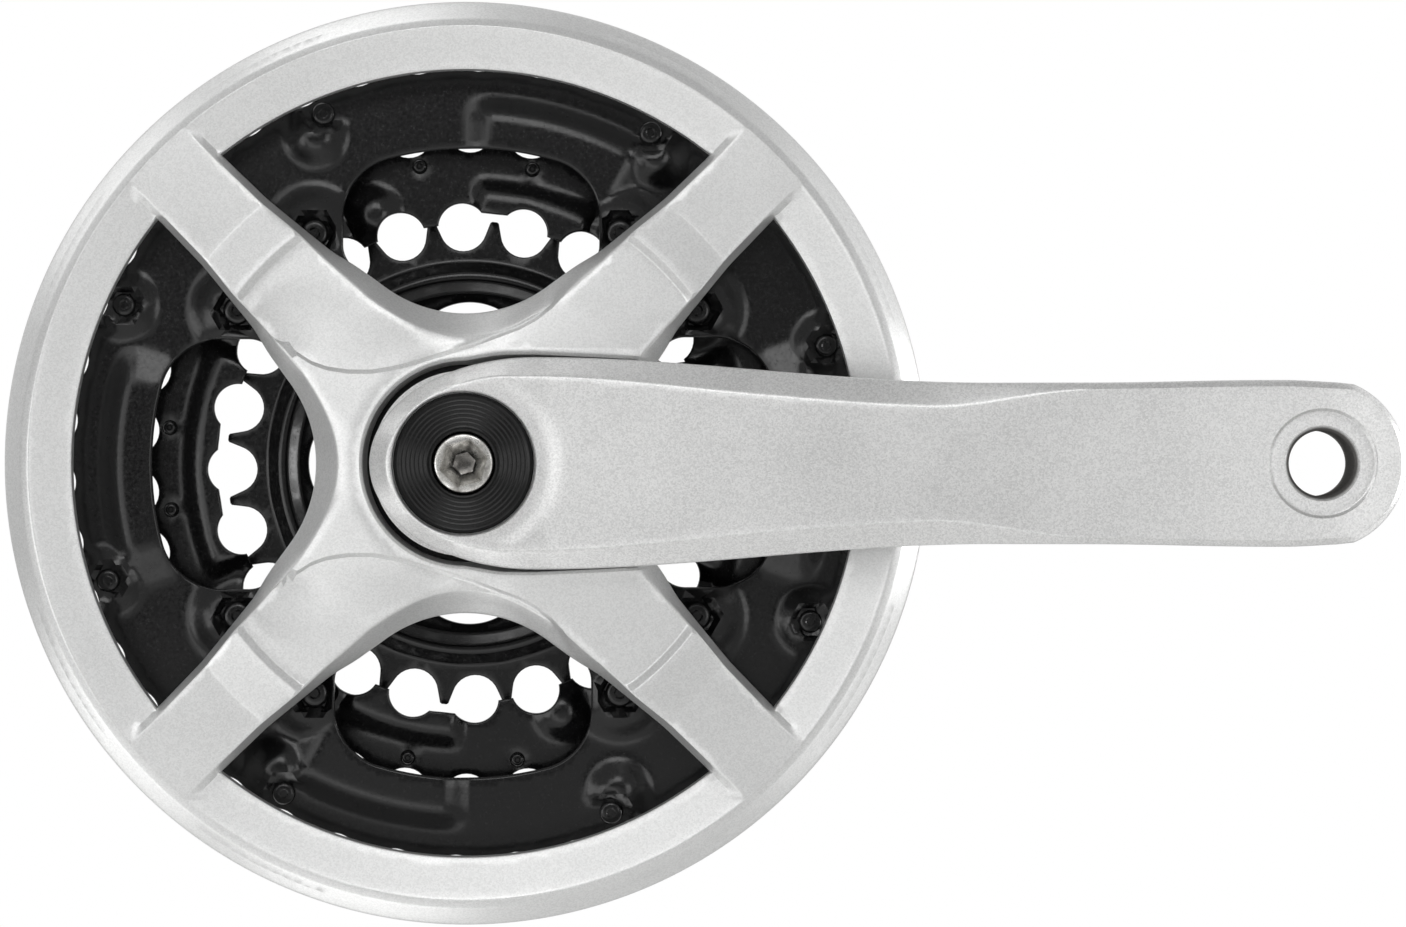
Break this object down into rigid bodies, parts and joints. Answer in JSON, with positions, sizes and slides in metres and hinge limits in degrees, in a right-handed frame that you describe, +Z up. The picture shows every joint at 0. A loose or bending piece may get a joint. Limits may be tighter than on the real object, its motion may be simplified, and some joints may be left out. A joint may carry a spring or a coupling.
{
  "type": "bicycle crankset",
  "caption": "Bicycle crankset with a flat silver crank arm, a round chain guard on crossed arms and a stack of black stamped chainrings behind it.",
  "frame": {"origin": "on the crank's turning axis, at the inboard face of the arm's boss, where the spindle enters", "axes": "+Y along the crank's axis towards the frame of the bicycle, so the outboard face looks to -Y; +X along the crank arm to the pedal hole; +Z up as the crankset is seen from outboard"},
  "size_m": [0.2813, 0.056, 0.1888],
  "materials": {
    "silver_paint": "satin silver paint with fine metallic grain on forged aluminium",
    "silver_plastic": "satin silver moulded plastic with fine metallic grain",
    "black_steel": "smooth satin black coating on stamped steel",
    "black_plastic": "satin black moulded plastic with turned grooves",
    "plated_steel": "bright plated steel"
  },
  "bodies": {
    "crankset": {"crank_arm": "silver_paint", "chain_guard": "silver_plastic", "bolt_cap": "black_plastic", "large_chainring": "black_steel", "middle_chainring": "black_steel", "small_chainring": "black_steel", "ring_rivet_1": "black_steel", "ring_rivet_2": "black_steel", "ring_rivet_3": "black_steel", "ring_rivet_4": "black_steel", "ring_rivet_5": "black_steel", "ring_rivet_6": "black_steel", "ring_rivet_7": "black_steel", "ring_rivet_8": "black_steel", "tab_rivet_1": "black_steel", "tab_rivet_2": "black_steel", "tab_rivet_3": "black_steel", "tab_rivet_4": "black_steel", "large_shift_pin_1": "black_steel", "large_shift_pin_2": "black_steel", "large_shift_pin_3": "black_steel", "large_shift_pin_4": "black_steel", "large_shift_pin_5": "black_steel", "large_shift_pin_6": "black_steel", "large_shift_pin_7": "black_steel", "large_shift_pin_8": "black_steel", "middle_shift_pin_1": "black_steel", "middle_shift_pin_2": "black_steel", "middle_shift_pin_3": "black_steel", "middle_shift_pin_4": "black_steel", "middle_shift_pin_5": "black_steel", "middle_shift_pin_6": "black_steel", "middle_shift_pin_7": "black_steel", "middle_shift_pin_8": "black_steel", "guard_screw_1": "plated_steel", "guard_screw_2": "plated_steel", "guard_screw_3": "plated_steel", "guard_screw_4": "plated_steel"},
    "bolt": {"crank_bolt": "plated_steel", "bolt_washer": "plated_steel"}
  },
  "joints": [
    {"name": "bolt_turn", "type": "hinge", "parent": "crankset", "child": "bolt", "pos_m": [0, 0, 0], "axis": [0, 1, 0], "continuous": true}
  ]
}
